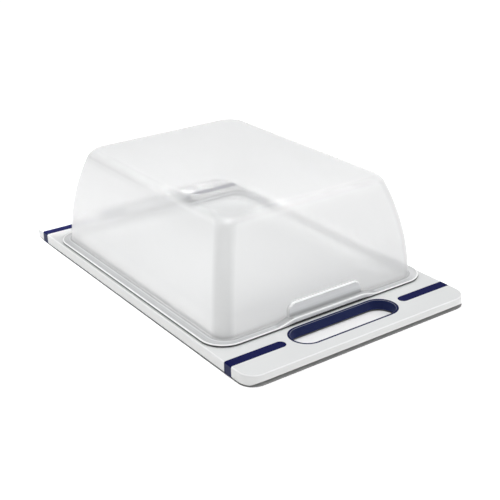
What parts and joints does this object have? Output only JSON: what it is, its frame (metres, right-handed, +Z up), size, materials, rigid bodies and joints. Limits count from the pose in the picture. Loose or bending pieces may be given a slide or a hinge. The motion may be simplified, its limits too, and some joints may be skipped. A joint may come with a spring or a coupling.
{
  "type": "covered serving board",
  "caption": "Flat serving board with soft-lined hand slots, wrap-round edge grips and a loose frosted dome cover.",
  "frame": {"origin": "on the surface that the board stands on, under the middle of the board", "axes": "+X along the board's long axis, +Y across it, +Z up"},
  "size_m": [0.398, 0.242, 0.1109],
  "materials": {
    "board_white": "fine matt moulded white",
    "dome_frosted": "translucent frosted, satin gloss",
    "soft_navy": "satin soft-touch"
  },
  "bodies": {
    "tray": {"board": "board_white", "slot_liner_near": "soft_navy", "slot_liner_far": "soft_navy", "edge_grip_near_left": "soft_navy", "edge_grip_near_right": "soft_navy", "edge_grip_far_left": "soft_navy", "edge_grip_far_right": "soft_navy"},
    "dome": {"dome_cover": "dome_frosted"}
  },
  "joints": [
    {"name": "dome_lift", "type": "slide", "parent": "tray", "child": "dome", "axis": [0, 0, 1], "range_m": [0, 0.12]}
  ]
}
